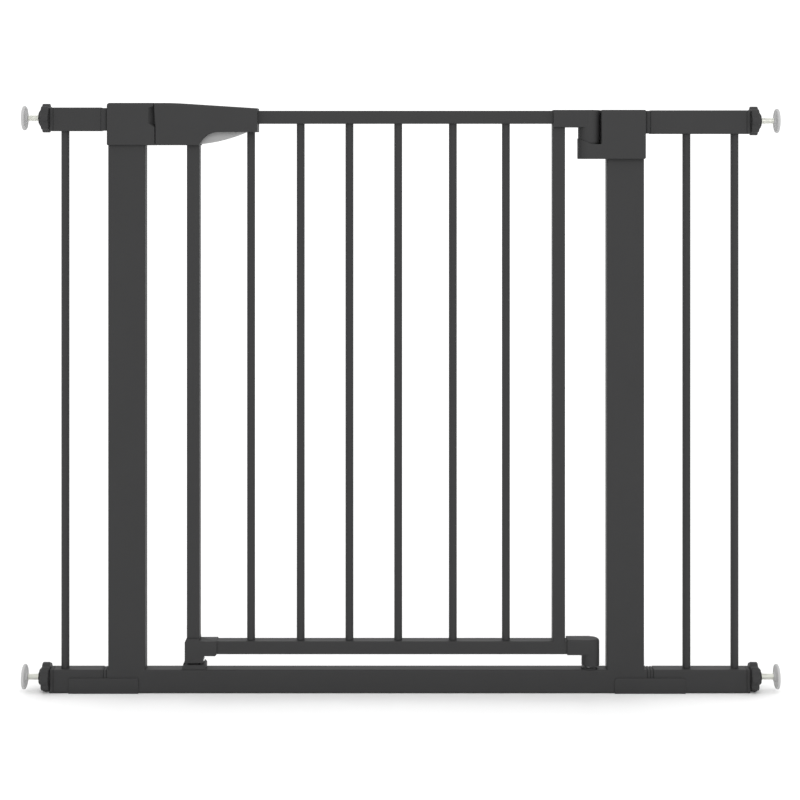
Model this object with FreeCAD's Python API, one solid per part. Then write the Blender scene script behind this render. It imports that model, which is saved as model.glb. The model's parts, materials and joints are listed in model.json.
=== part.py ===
import FreeCAD, Part
import math
import os

# Pressure-fitted, walk-through safety gate. Millimetres, +X along the gate towards the hinge side,
# +Y through the gate, +Z up. The origin lies on the floor, in the middle of the gate.

os.makedirs("parts", exist_ok=True)
V = FreeCAD.Vector

# Frame: posts and threshold
FRAME_DEPTH = 20.0
TUBE_WALL = 1.5
TUBE_ROUND = 2.0
RAIL_HEIGHT = 30.0
POST_WIDTH = 47.2
LEFT_POST_X = -348.3
RIGHT_POST_X = 285.6
THRESHOLD_LEFT_X = -373.5
THRESHOLD_RIGHT_X = 312.8

# Post heads
LEFT_HEAD_LEFT_X = -372.7
LEFT_HEAD_RIGHT_X = -312.2
LEFT_HEAD_LEAN = 1.8
LEFT_HEAD_BOTTOM_Z = 696.5
LEFT_HEAD_TOP_Z = 750.3
LEFT_HEAD_HALF_DEPTH = 14.0
LEFT_POST_TOP_Z = LEFT_HEAD_TOP_Z - 3.0
RIGHT_HEAD_BOTTOM_Z = 679.0
RIGHT_HEAD_TOP_Z = 741.3
RIGHT_HEAD_HALF_DEPTH = 16.5
RIGHT_HEAD_LEFT_X = 254.2
RIGHT_HEAD_RIGHT_X = 310.5
RIGHT_POST_TOP_Z = RIGHT_HEAD_TOP_Z - 3.0
LEAN_START_Z = 720.0
HEAD_ROUND = 3.5
HEAD_SIDE_ROUND = 1.6

# Hinge line
HINGE_X = 240.2
KNUCKLE_RADIUS = 15.0
FINGER_RADIUS = 14.1
SOCKET_RADIUS = 14.4
FINGER_BOTTOM_Z = 699.2
SOCKET_FLOOR_Z = 695.0
HINGE_PIN_RADIUS = 4.0
PIN_FOOT_Z = 683.0
CUP_RADIUS = 7.0
RUNNING_FIT = 0.06

# Door
DOOR_HALF_DEPTH = 9.0
DOOR_TUBE = 16.4
DOOR_WALL = 1.2
DOOR_ROUND = 1.6
TOP_RAIL_Z = 723.9
TOP_RAIL_OVERHANG = 4.5
LOW_RAIL_Z = 49.4
LOW_RAIL_END_X = 219.6
LATCH_STILE_X = -272.0
LATCH_STILE_WIDTH = 16.1
HINGE_STILE_X = 193.0
HINGE_STILE_WIDTH = 15.9
BAR_RADIUS = 5.1
BAR_WALL = 0.9
DOOR_BARS_X = (-191.0, -127.7, -65.5, -3.3, 66.4, 134.1)
BLOCK_LEFT_X = 194.0
BLOCK_BOTTOM_Z = 719.3
BLOCK_TOP_Z = 741.3
BLOCK_HALF_DEPTH = 13.5

# Bottom hinge and catch
ELBOW_RADIUS = 11.3
ELBOW_X = HINGE_X + 1.7
ELBOW_LEFT_X = 211.6
ELBOW_BOTTOM_Z = 34.2
ELBOW_ARM_BOTTOM_Z = 48.7
ELBOW_TOP_Z = 67.9
CORNER_LEFT_X = -274.4
CORNER_RIGHT_X = -233.9
FOOT_RIGHT_X = -251.6
FOOT_BOTTOM_Z = 39.2
CATCH_LEFT_X = -278.5
CATCH_RIGHT_X = -248.0
CATCH_SEAT_Z = 36.1
CATCH_LIP_Z = 37.8
TONGUE_LEFT_X = -269.5
TONGUE_RIGHT_X = -256.5
TONGUE_HALF = 5.6
TONGUE_Z = 32.4

# Handle, trigger and latch
HANDLE_HALF_DEPTH = 15.0
HANDLE_LEFT_X = -312.8
HANDLE_RIGHT_X = -181.9
HANDLE_TOP_Z = 750.2
HANDLE_BEND_X = -288.0
HANDLE_RIGHT_TOP_Z = 743.4
HANDLE_UNDERSIDE_Z = 713.3
HANDLE_FOOT_Z = 696.6
TRIGGER_HALF_WIDTH = 6.5
TRIGGER_TRAVEL = 6.0
LIFT = 6.0
SPRING_X = -226.0
SPRING_RADIUS = 3.4
SPRING_WIRE = 0.45
SPRING_TURNS = 6
SPRING_FOOT_Z = 709.0
BOLT_Z = 732.0
BOLT_HALF = 5.0
BOLT_NOSE_X = -318.4
CAM_PIN_X = -243.0
CAM_PIN_Z = 729.2
CAM_PIN_RADIUS = 2.0
KEEPER_BACK_X = -321.6

# Extensions
LEFT_RAIL_END_X = -441.3
RIGHT_RAIL_END_X = 439.4
LEFT_TOP_RAIL_Z = 714.5
RIGHT_TOP_RAIL_Z = 710.9
LEFT_TOP_COLLAR_X = -381.4
LEFT_LOW_COLLAR_X = -380.0
RIGHT_TOP_COLLAR_X = 317.8
RIGHT_LOW_COLLAR_X = 321.4
LEFT_BAR_X = -427.9
RIGHT_BARS_X = (364.4, 425.7)
CLIP_HEIGHT = 19.8
CLIP_WALL = 1.2
LEFT_CLIP = (-421.9, -333.3)
RIGHT_CLIP = (271.5, 361.7)

# Spindles
BUSH_FLANGE = 4.7
BUSH_NECK = 0.6
WASHER_THICKNESS = 1.0
NUT_THICKNESS = 9.6
NUT_RADIUS = 18.3
NUT_LOBES = 8
NUT_BOSS_RADIUS = 10.4
NUT_BOSS_LENGTH = 4.4
ROD_RADIUS = 4.0
ROD_INNER_LENGTH = 50.0
PAD_RADIUS = 15.6
PAD_THICKNESS = 3.8
PAD_BOSS_RADIUS = 6.5
PAD_BOSS_LENGTH = 2.6
WALL_X = 481.6
LOW_SPINDLE_RISE = 3.6
TOP_SPINDLE_RISE = 1.6

# Screws
SCREW_RADIUS = 2.0
SCREW_HEAD_RADIUS = 3.8
SCREW_HEAD_HEIGHT = 1.8
SCREW_LENGTH = 8.0
FRAME_SCREWS = [
    (LEFT_POST_X - 10, LEFT_HEAD_HALF_DEPTH, 712.0),
    (LEFT_POST_X + 10, LEFT_HEAD_HALF_DEPTH, 712.0),
    (RIGHT_POST_X - 10, RIGHT_HEAD_HALF_DEPTH, 695.0),
    (RIGHT_POST_X + 10, RIGHT_HEAD_HALF_DEPTH, 695.0),
]
DOOR_SCREWS = [
    (-290.0, HANDLE_HALF_DEPTH, 712.0),
    (LATCH_STILE_X + LATCH_STILE_WIDTH / 2, HANDLE_HALF_DEPTH, BOLT_Z),
    (-206.0, HANDLE_HALF_DEPTH, BOLT_Z),
    (201.0, BLOCK_HALF_DEPTH, BOLT_Z),
    (LATCH_STILE_X + LATCH_STILE_WIDTH / 2, DOOR_HALF_DEPTH + 1.8, 58.0),
    (216.0, ELBOW_RADIUS - 0.3, 58.0),
]


def box(x0, x1, y0, y1, z0, z1):
    return Part.makeBox(x1 - x0, y1 - y0, z1 - z0, V(x0, y0, z0))


def cylinder(start, axis, radius, length):
    return Part.makeCylinder(radius, length, V(*start), V(*axis))


def prism(outline, y0, y1):
    """A wire or a list of XZ points, extruded through the gate from y0 to y1."""
    if isinstance(outline, list):
        points = [V(x, 0, z) for x, z in outline]
        outline = Part.makePolygon(points + points[:1])
    face = Part.Face(outline)
    face.translate(V(0, y0, 0))
    return face.extrude(V(0, y1 - y0, 0))


def edges_along(shape, axis):
    """The straight edges that run along one axis."""
    direction = V(*axis)
    found = []
    for edge in shape.Edges:
        if not isinstance(edge.Curve, Part.Line):
            continue
        if abs(edge.tangentAt(edge.FirstParameter).dot(direction)) > 0.999:
            found.append(edge)
    return found


def rounded(shape, radius, axis):
    return shape.makeFillet(radius, edges_along(shape, axis))


def rounded_where(shape, radius, test):
    """Fillet the edges whose bounding box passes the test."""
    return shape.makeFillet(radius, [edge for edge in shape.Edges if test(edge.BoundBox)])


def tube_along_x(x0, x1, z0, height, half_depth, wall, radius):
    outer = rounded(box(x0, x1, -half_depth, half_depth, z0, z0 + height), radius, (1, 0, 0))
    inner = box(x0 - 1, x1 + 1, wall - half_depth, half_depth - wall, z0 + wall, z0 + height - wall)
    return outer.cut(inner)


def tube_along_z(x0, width, z0, z1, half_depth, wall, radius):
    outer = rounded(box(x0, x0 + width, -half_depth, half_depth, z0, z1), radius, (0, 0, 1))
    inner = box(x0 + wall, x0 + width - wall, wall - half_depth, half_depth - wall, z0 - 1, z1 + 1)
    return outer.cut(inner)


def group(solids):
    return Part.makeCompound(solids)


def save(name, shape):
    shape.exportStep("parts/" + name + ".step")


# ---------------------------------------------------------------- frame

def threshold_rail():
    rail = tube_along_x(THRESHOLD_LEFT_X, THRESHOLD_RIGHT_X, 0, RAIL_HEIGHT, FRAME_DEPTH / 2, TUBE_WALL,
                        TUBE_ROUND)
    cup_hole = cylinder((HINGE_X, 0, RAIL_HEIGHT - 2 * TUBE_WALL), (0, 0, 1), CUP_RADIUS, 2 * TUBE_WALL)
    return cut_for_clips(rail).cut(cup_hole)


def cut_for_clips(rail):
    """The bottom wall is open over each joint clip, whose base closes it."""
    for x0, x1 in (LEFT_CLIP, RIGHT_CLIP):
        rail = rail.cut(box(x0, x1, -FRAME_DEPTH, FRAME_DEPTH, -1, TUBE_WALL))
    return rail


def post(centre_x, top_z):
    """The foot reaches down over the threshold's rounded edge, so the fronts are flush."""
    foot_z = RAIL_HEIGHT - TUBE_ROUND
    tube = tube_along_z(centre_x - POST_WIDTH / 2, POST_WIDTH, foot_z, top_z, FRAME_DEPTH / 2, TUBE_WALL,
                        TUBE_ROUND)
    rail = rounded(box(THRESHOLD_LEFT_X, THRESHOLD_RIGHT_X, -FRAME_DEPTH / 2, FRAME_DEPTH / 2, 0, RAIL_HEIGHT),
                   TUBE_ROUND, (1, 0, 0))
    return tube.cut(rail)


def post_hollow(centre_x, top_z):
    half = POST_WIDTH / 2
    return box(centre_x - half, centre_x + half, -FRAME_DEPTH / 2, FRAME_DEPTH / 2, 0, top_z)


def left_post_head():
    """The cap on the latch post. Its right edge leans away from the door above LEAN_START_Z."""
    left_x = LEFT_HEAD_LEFT_X
    half = LEFT_HEAD_HALF_DEPTH
    head = prism([
        (left_x, LEFT_HEAD_BOTTOM_Z),
        (left_x, LEFT_HEAD_TOP_Z),
        (LEFT_HEAD_RIGHT_X - LEFT_HEAD_LEAN, LEFT_HEAD_TOP_Z),
        (LEFT_HEAD_RIGHT_X, LEAN_START_Z),
        (LEFT_HEAD_RIGHT_X, LEFT_HEAD_BOTTOM_Z),
    ], -half, half)
    head = rounded_where(head, HEAD_ROUND, lambda b: b.ZMin > LEFT_HEAD_TOP_Z - 0.1 and b.XMin < left_x + 1)
    head = rounded_where(head, 1.2, lambda b: b.ZMax < LEFT_HEAD_BOTTOM_Z + 0.1)
    head = head.cut(post_hollow(LEFT_POST_X, LEFT_POST_TOP_Z))
    for side in (-1, 1):
        head = head.cut(keeper_lead_in(side))
    head = head.cut(keeper_block()).cut(keeper_pocket())
    return head.cut(spigot_stub(left_x, LEFT_TOP_RAIL_Z, 1))


def keeper_lead_in(side):
    """A sloping scoop in the edge of the head, which guides the bolt's nose in from one side."""
    mouth = [(LEFT_HEAD_RIGHT_X + 2, 747.6), (-321.4, 743.8), (-321.4, 724.5), (LEFT_HEAD_RIGHT_X + 2, 717.2)]
    points = [V(x, side * (LEFT_HEAD_HALF_DEPTH + 1), z) for x, z in mouth]
    face = Part.Face(Part.makePolygon(points + points[:1]))
    return face.extrude(V(7.6, -side * 8.0, 0))


def keeper_block():
    right_x = LEFT_HEAD_RIGHT_X - LEFT_HEAD_LEAN - 0.4
    return box(KEEPER_BACK_X, right_x, -7.5, 7.5, BOLT_Z - 8.5, BOLT_Z + LIFT + 7.0)


def keeper_pocket():
    """Tall enough for the bolt to rise with the door."""
    half = BOLT_HALF + 0.3
    return box(BOLT_NOSE_X - 0.8, LEFT_HEAD_RIGHT_X + 1, -half, half, BOLT_Z - half, BOLT_Z + half + LIFT)


def latch_keeper():
    """The hard insert in the left head that the bolt's nose drops into."""
    return keeper_block().cut(keeper_pocket())


def hinge_arm():
    """A round cup about the hinge line, joined to the head. Its rim slopes down towards the head."""
    seam_left_z = 705.2
    seam_low_x = 242.5
    seam_low_z = 697.7
    corner = 4.0
    left_x = HINGE_X - KNUCKLE_RADIUS
    wall_x = RIGHT_HEAD_LEFT_X + HEAD_SIDE_ROUND
    inside_x = wall_x + 3.0
    corner_mid = V(wall_x - corner * (1 - math.sqrt(0.5)), 0, seam_low_z + corner * (1 - math.sqrt(0.5)))
    front = [
        Part.LineSegment(V(left_x, 0, RIGHT_HEAD_BOTTOM_Z), V(left_x, 0, seam_left_z)),
        Part.LineSegment(V(left_x, 0, seam_left_z), V(seam_low_x, 0, seam_low_z)),
        Part.LineSegment(V(seam_low_x, 0, seam_low_z), V(wall_x - corner, 0, seam_low_z)),
        Part.Arc(V(wall_x - corner, 0, seam_low_z), corner_mid, V(wall_x, 0, seam_low_z + corner)),
        Part.LineSegment(V(wall_x, 0, seam_low_z + corner), V(inside_x, 0, seam_low_z + corner)),
        Part.LineSegment(V(inside_x, 0, seam_low_z + corner), V(inside_x, 0, RIGHT_HEAD_BOTTOM_Z)),
        Part.LineSegment(V(inside_x, 0, RIGHT_HEAD_BOTTOM_Z), V(left_x, 0, RIGHT_HEAD_BOTTOM_Z)),
    ]
    arm = prism(Part.Wire([piece.toShape() for piece in front]), -RIGHT_HEAD_HALF_DEPTH, RIGHT_HEAD_HALF_DEPTH)
    height = RIGHT_HEAD_TOP_Z - RIGHT_HEAD_BOTTOM_Z
    barrel = cylinder((HINGE_X, 0, RIGHT_HEAD_BOTTOM_Z), (0, 0, 1), KNUCKLE_RADIUS, height)
    plan = [
        (HINGE_X, -KNUCKLE_RADIUS),
        (wall_x, -RIGHT_HEAD_HALF_DEPTH),
        (inside_x, -RIGHT_HEAD_HALF_DEPTH),
        (inside_x, RIGHT_HEAD_HALF_DEPTH),
        (wall_x, RIGHT_HEAD_HALF_DEPTH),
        (HINGE_X, KNUCKLE_RADIUS),
    ]
    points = [V(x, y, RIGHT_HEAD_BOTTOM_Z) for x, y in plan]
    web = Part.Face(Part.makePolygon(points + points[:1])).extrude(V(0, 0, height))
    return arm.common(barrel.fuse(web))


def right_post_head():
    right_x = RIGHT_HEAD_RIGHT_X
    half = RIGHT_HEAD_HALF_DEPTH
    head = box(RIGHT_HEAD_LEFT_X, right_x, -half, half, RIGHT_HEAD_BOTTOM_Z, RIGHT_HEAD_TOP_Z)
    head = rounded_where(head, HEAD_SIDE_ROUND, lambda b: b.XMax < RIGHT_HEAD_LEFT_X + 0.1 and b.ZLength > 1)
    head = rounded_where(head, 2.2, lambda b: b.XMin > right_x - 0.1 and b.ZMax < RIGHT_HEAD_BOTTOM_Z + 0.1)
    head = rounded_where(head, 1.5, lambda b: b.ZMin > RIGHT_HEAD_TOP_Z - 0.1)
    head = head.fuse(hinge_arm()).removeSplitter()
    head = rounded_where(head, 1.2, lambda b: b.ZMax < RIGHT_HEAD_BOTTOM_Z + 0.1)
    head = head.cut(post_hollow(RIGHT_POST_X, RIGHT_POST_TOP_Z))
    head = head.cut(cylinder((HINGE_X, 0, SOCKET_FLOOR_Z), (0, 0, 1), SOCKET_RADIUS, 60))
    head = head.cut(cylinder((HINGE_X, 0, PIN_FOOT_Z), (0, 0, 1), HINGE_PIN_RADIUS, 60))
    return head.cut(spigot_stub(right_x, RIGHT_TOP_RAIL_Z, -1))


def hinge_seat_bush():
    """The ring that the finger turns on."""
    height = FINGER_BOTTOM_Z - 0.1 - SOCKET_FLOOR_Z
    ring = cylinder((HINGE_X, 0, SOCKET_FLOOR_Z), (0, 0, 1), SOCKET_RADIUS, height)
    return ring.cut(cylinder((HINGE_X, 0, SOCKET_FLOOR_Z), (0, 0, 1), HINGE_PIN_RADIUS, height))


def top_hinge_pin():
    pin = cylinder((HINGE_X, 0, PIN_FOOT_Z), (0, 0, 1), HINGE_PIN_RADIUS, 35.0)
    return rounded_where(pin, 1.0, lambda b: b.ZMin > PIN_FOOT_Z + 34)


def pivot_cup():
    """A flanged cup let into the threshold, which holds the foot of the pivot pin."""
    flange = cylinder((HINGE_X, 0, RAIL_HEIGHT), (0, 0, 1), 10.5, 1.4)
    body = cylinder((HINGE_X, 0, 12.0), (0, 0, 1), CUP_RADIUS, RAIL_HEIGHT - 12.0)
    bore = cylinder((HINGE_X, 0, 14.0), (0, 0, 1), HINGE_PIN_RADIUS + RUNNING_FIT, 30)
    return body.fuse(flange).removeSplitter().cut(bore)


def door_catch():
    """A seat on the threshold. Its pocket takes the tongue of the door's foot, between two lips."""
    seat_left = CORNER_LEFT_X - 0.6
    seat_right = FOOT_RIGHT_X + 0.6
    outline = [
        (CATCH_LEFT_X, RAIL_HEIGHT),
        (CATCH_LEFT_X + 2.2, CATCH_LIP_Z),
        (seat_left, CATCH_LIP_Z),
        (seat_left, CATCH_SEAT_Z),
        (seat_right, CATCH_SEAT_Z),
        (seat_right, CATCH_LIP_Z + 0.6),
        (CATCH_RIGHT_X - 1.2, CATCH_LIP_Z - 0.6),
        (CATCH_RIGHT_X, CATCH_LIP_Z - 2.2),
        (CATCH_RIGHT_X, RAIL_HEIGHT),
    ]
    body = prism(outline, -9.2, 9.2)
    pocket = box(TONGUE_LEFT_X - 0.8, TONGUE_RIGHT_X + 0.8, -TONGUE_HALF - 0.5, TONGUE_HALF + 0.5,
                 TONGUE_Z - 0.8, 60)
    return body.cut(pocket)


# ---------------------------------------------------------------- extensions

def spigot_stub(face_x, rail_z, inwards):
    """A round stub that plugs a top extension into the head and post."""
    centre_z = rail_z + RAIL_HEIGHT / 2
    return cylinder((face_x - inwards, 0, centre_z), (inwards, 0, 0), 6.0, 12.0)


def collar(x0, x1, z0, grooves_x):
    """The visible ring of a joint, with grooves round it."""
    half = FRAME_DEPTH / 2
    trim = 0.6 if z0 else 0.3
    depth = 1.5
    ring = rounded(box(x0, x1, trim - half, half - trim, z0 + trim, z0 + RAIL_HEIGHT - trim), TUBE_ROUND, (1, 0, 0))
    for groove_x in grooves_x:
        slit = box(groove_x - 0.5, groove_x + 0.5, -half, half, z0, z0 + RAIL_HEIGHT)
        core = box(groove_x - 1, groove_x + 1, depth - half, half - depth, z0 + depth, z0 + RAIL_HEIGHT - depth)
        ring = ring.cut(slit.cut(core))
    return ring


def low_collar(x0, x1, grooves_x):
    """A collar whose bottom gives way to the joint clip's base."""
    return collar(x0, x1, 0, grooves_x).cut(box(x0, x1, -FRAME_DEPTH, FRAME_DEPTH, -1, TUBE_WALL))


def tongue_in_rail(x0, x1, z0):
    inset = TUBE_WALL + 0.2
    half = FRAME_DEPTH / 2 - inset
    return box(x0, x1, -half, half, z0 + inset, z0 + RAIL_HEIGHT - inset)


def left_spigots():
    head_x = LEFT_HEAD_LEFT_X
    top = collar(LEFT_TOP_COLLAR_X, head_x, LEFT_TOP_RAIL_Z, [head_x - 1.2])
    top = top.fuse(tongue_in_rail(LEFT_TOP_COLLAR_X - 35, LEFT_TOP_COLLAR_X, LEFT_TOP_RAIL_Z))
    top = top.fuse(spigot_stub(head_x, LEFT_TOP_RAIL_Z, 1))
    low = low_collar(LEFT_LOW_COLLAR_X, THRESHOLD_LEFT_X, [-377.6, -374.0])
    low = low.fuse(tongue_in_rail(LEFT_LOW_COLLAR_X - 35, THRESHOLD_LEFT_X + 35, 0))
    rod_ways = []
    for end_x, outwards, rail_z, rod_z in spindles()[:2]:
        rod_ways.append(cylinder((end_x, 0, rod_z), (1, 0, 0), ROD_RADIUS + 0.8, head_x - end_x))
    return group([top.removeSplitter().cut(rod_ways[0]), low.removeSplitter().cut(rod_ways[1])])


def right_spigots():
    head_x = RIGHT_HEAD_RIGHT_X
    top = collar(head_x, RIGHT_TOP_COLLAR_X, RIGHT_TOP_RAIL_Z, [head_x + 1.6, RIGHT_TOP_COLLAR_X - 0.7])
    top = top.fuse(tongue_in_rail(RIGHT_TOP_COLLAR_X, RIGHT_TOP_COLLAR_X + 35, RIGHT_TOP_RAIL_Z))
    top = top.fuse(spigot_stub(head_x, RIGHT_TOP_RAIL_Z, -1))
    low = low_collar(THRESHOLD_RIGHT_X, RIGHT_LOW_COLLAR_X, [313.4, 317.2, 320.9])
    low = low.fuse(tongue_in_rail(THRESHOLD_RIGHT_X - 35, RIGHT_LOW_COLLAR_X + 35, 0))
    return group([top.removeSplitter(), low.removeSplitter()])


def extension_rail(x0, x1, z0):
    rail = tube_along_x(x0, x1, z0, RAIL_HEIGHT, FRAME_DEPTH / 2, TUBE_WALL, TUBE_ROUND)
    if z0 == 0:
        rail = cut_for_clips(rail)
    return rail


def round_bar(centre_x, bottom_z, top_z):
    """A thin round tube, welded upright between two rails."""
    foot = (centre_x, 0, bottom_z)
    outer = cylinder(foot, (0, 0, 1), BAR_RADIUS, top_z - bottom_z)
    return outer.cut(cylinder(foot, (0, 0, 1), BAR_RADIUS - BAR_WALL, top_z - bottom_z))


def extension_bar(centre_x, top_z):
    return round_bar(centre_x, RAIL_HEIGHT, top_z)


def joint_clip(span, corner):
    """A channel that closes the bottom of a joint and grips both rails, front and back."""
    half = FRAME_DEPTH / 2
    x0, x1 = span
    clip = box(x0, x1, -half - CLIP_WALL, half + CLIP_WALL, 0, CLIP_HEIGHT)
    clip = rounded_where(clip, corner, lambda b: b.ZMin > CLIP_HEIGHT - 0.1 and b.XLength < 1)
    return clip.cut(box(x0 - 1, x1 + 1, -half, half, TUBE_WALL, RAIL_HEIGHT))


def end_bushes():
    """Four flanged bushes in the free rail ends, which guide the spindles."""
    bushes = []
    for end_x, outwards, rail_z, rod_z in spindles():
        half = FRAME_DEPTH / 2
        neck_x = end_x + outwards * BUSH_NECK
        outer_x = end_x + outwards * BUSH_FLANGE
        flange = box(min(neck_x, outer_x), max(neck_x, outer_x), -half, half, rail_z, rail_z + RAIL_HEIGHT)
        flange = rounded(flange, TUBE_ROUND, (1, 0, 0))
        inner_x = end_x - outwards * 24.0
        plug = box(min(neck_x, inner_x), max(neck_x, inner_x), TUBE_WALL - half, half - TUBE_WALL,
                   rail_z + TUBE_WALL, rail_z + RAIL_HEIGHT - TUBE_WALL)
        bore = cylinder((end_x - outwards * 30, 0, rod_z), (outwards, 0, 0), ROD_RADIUS + 0.3, 60)
        bushes.append(flange.fuse(plug).removeSplitter().cut(bore))
    return group(bushes)


# ---------------------------------------------------------------- spindles

def spindles():
    """End of the rail, outward direction, rail underside and rod height of each spindle."""
    return [
        (LEFT_RAIL_END_X, -1, LEFT_TOP_RAIL_Z, LEFT_TOP_RAIL_Z + RAIL_HEIGHT / 2 + TOP_SPINDLE_RISE),
        (LEFT_RAIL_END_X, -1, 0, RAIL_HEIGHT / 2 + LOW_SPINDLE_RISE),
        (RIGHT_RAIL_END_X, 1, RIGHT_TOP_RAIL_Z, RIGHT_TOP_RAIL_Z + RAIL_HEIGHT / 2 + TOP_SPINDLE_RISE),
        (RIGHT_RAIL_END_X, 1, 0, RAIL_HEIGHT / 2 + LOW_SPINDLE_RISE),
    ]


def spindle_washers():
    washers = []
    for end_x, outwards, rail_z, rod_z in spindles():
        start = (end_x + outwards * BUSH_FLANGE, 0, rod_z)
        washer = cylinder(start, (outwards, 0, 0), 9.0, WASHER_THICKNESS)
        washers.append(washer.cut(cylinder(start, (outwards, 0, 0), ROD_RADIUS + 0.3, WASHER_THICKNESS)))
    return group(washers)


def hand_nut(end_x, outwards, rod_z):
    """A lobed wheel with a tapering boss on its outer side."""
    edge = 1.6
    bore = ROD_RADIUS + RUNNING_FIT
    length = NUT_THICKNESS + NUT_BOSS_LENGTH
    outline = [
        (0, bore),
        (0, NUT_RADIUS - edge),
        (edge / 2, NUT_RADIUS - edge / 4),
        (edge, NUT_RADIUS),
        (NUT_THICKNESS - edge, NUT_RADIUS),
        (NUT_THICKNESS - edge / 2, NUT_RADIUS - edge / 4),
        (NUT_THICKNESS, NUT_RADIUS - edge),
        (NUT_THICKNESS, NUT_BOSS_RADIUS),
        (length - 1, NUT_BOSS_RADIUS - 0.8),
        (length, NUT_BOSS_RADIUS - 1.8),
        (length, bore),
    ]
    points = [V(x, 0, r) for x, r in outline]
    nut = Part.Face(Part.makePolygon(points + points[:1])).revolve(V(0, 0, 0), V(1, 0, 0), 360)
    for lobe in range(NUT_LOBES):
        turn = 2 * math.pi * (lobe + 0.5) / NUT_LOBES
        reach = NUT_RADIUS + 2.6
        place = (-1, reach * math.cos(turn), reach * math.sin(turn))
        nut = nut.cut(cylinder(place, (1, 0, 0), 4.2, NUT_THICKNESS + 2))
    if outwards < 0:
        nut.rotate(V(0, 0, 0), V(0, 0, 1), 180)
    nut.translate(V(end_x + outwards * (BUSH_FLANGE + WASHER_THICKNESS + 0.1), 0, rod_z))
    return nut


def threaded_rod(end_x, outwards, rod_z):
    inner_x = end_x - outwards * ROD_INNER_LENGTH
    outer_x = outwards * (WALL_X - PAD_THICKNESS + 1.0)
    rod = cylinder((inner_x, 0, rod_z), (outwards, 0, 0), ROD_RADIUS, abs(outer_x - inner_x))
    return rod.makeChamfer(0.8, [edge for edge in rod.Edges if abs(edge.BoundBox.XMin - inner_x) < 0.01
                                 and edge.BoundBox.XLength < 0.01])


def wall_pad(outwards, rod_z):
    """A round pad with a short boss that the rod's end is moulded into."""
    inner_x = outwards * (WALL_X - PAD_THICKNESS)
    axis = (outwards, 0, 0)
    disc = cylinder((inner_x, 0, rod_z), axis, PAD_RADIUS, PAD_THICKNESS)
    disc = rounded_where(disc, 1.1, lambda b: b.XLength < 0.1)
    boss = Part.makeCone(PAD_BOSS_RADIUS - 1.5, PAD_BOSS_RADIUS, PAD_BOSS_LENGTH,
                         V(inner_x - outwards * PAD_BOSS_LENGTH, 0, rod_z), V(*axis))
    hole = cylinder((inner_x - outwards * 5, 0, rod_z), axis, ROD_RADIUS, 6.0)
    return disc.fuse(boss).removeSplitter().cut(hole)


# ---------------------------------------------------------------- door

def latch_stile():
    return tube_along_z(LATCH_STILE_X, LATCH_STILE_WIDTH, ELBOW_ARM_BOTTOM_Z + 0.2, TOP_RAIL_Z, DOOR_HALF_DEPTH,
                        DOOR_WALL, DOOR_ROUND)


def low_rail_outer():
    rail = box(LATCH_STILE_X + LATCH_STILE_WIDTH, LOW_RAIL_END_X, -DOOR_HALF_DEPTH, DOOR_HALF_DEPTH,
               LOW_RAIL_Z, LOW_RAIL_Z + DOOR_TUBE)
    return rounded(rail, DOOR_ROUND, (1, 0, 0))


def hinge_stile():
    tube = tube_along_z(HINGE_STILE_X, HINGE_STILE_WIDTH, LOW_RAIL_Z + DOOR_TUBE - DOOR_ROUND, TOP_RAIL_Z,
                        DOOR_HALF_DEPTH, DOOR_WALL, DOOR_ROUND)
    return tube.cut(low_rail_outer())


def door_bottom_rail():
    return tube_along_x(LATCH_STILE_X + LATCH_STILE_WIDTH, LOW_RAIL_END_X, LOW_RAIL_Z, DOOR_TUBE,
                        DOOR_HALF_DEPTH, DOOR_WALL, DOOR_ROUND)


def door_top_rail():
    rail = tube_along_x(LATCH_STILE_X - TOP_RAIL_OVERHANG, HINGE_STILE_X + HINGE_STILE_WIDTH, TOP_RAIL_Z,
                        DOOR_TUBE, DOOR_HALF_DEPTH, DOOR_WALL, DOOR_ROUND)
    return rail.cut(box(CAM_PIN_X - 4.6, CAM_PIN_X + 4.6, -2.5, 2.5, TOP_RAIL_Z - 1, TOP_RAIL_Z + 2 * DOOR_WALL))


def door_bar(centre_x):
    return round_bar(centre_x, LOW_RAIL_Z + DOOR_TUBE, TOP_RAIL_Z)


def door_frame_solid():
    """The outer shape of the rails and stiles, without their hollows."""
    y = DOOR_HALF_DEPTH
    right = HINGE_STILE_X + HINGE_STILE_WIDTH
    top = box(LATCH_STILE_X - TOP_RAIL_OVERHANG, right, -y, y, TOP_RAIL_Z, TOP_RAIL_Z + DOOR_TUBE)
    left = box(LATCH_STILE_X, LATCH_STILE_X + LATCH_STILE_WIDTH, -y, y, ELBOW_ARM_BOTTOM_Z + 0.2, TOP_RAIL_Z)
    hinge_side = box(HINGE_STILE_X, right, -y, y, LOW_RAIL_Z + DOOR_TUBE, TOP_RAIL_Z)
    low = box(LATCH_STILE_X + LATCH_STILE_WIDTH, LOW_RAIL_END_X, -y, y, LOW_RAIL_Z, LOW_RAIL_Z + DOOR_TUBE)
    return [top, left, hinge_side, low]


def without_door_frame(shape):
    for solid in door_frame_solid():
        shape = shape.cut(solid)
    return shape


def top_hinge_block():
    """The cap over the hinge corner, with a round finger that turns in the right head's socket."""
    height = BLOCK_TOP_Z - BLOCK_BOTTOM_Z
    block = box(BLOCK_LEFT_X, HINGE_X, -BLOCK_HALF_DEPTH, BLOCK_HALF_DEPTH, BLOCK_BOTTOM_Z, BLOCK_TOP_Z)
    block = rounded(block, 1.0, (1, 0, 0))
    finger = cylinder((HINGE_X, 0, FINGER_BOTTOM_Z), (0, 0, 1), FINGER_RADIUS, BLOCK_TOP_Z - FINGER_BOTTOM_Z)
    finger = rounded_where(finger, 0.8, lambda b: b.ZLength < 0.1)
    block = without_door_frame(block.fuse(finger))
    bore = cylinder((HINGE_X, 0, FINGER_BOTTOM_Z - 1), (0, 0, 1), HINGE_PIN_RADIUS + RUNNING_FIT, height + 9)
    return block.cut(bore)


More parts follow.
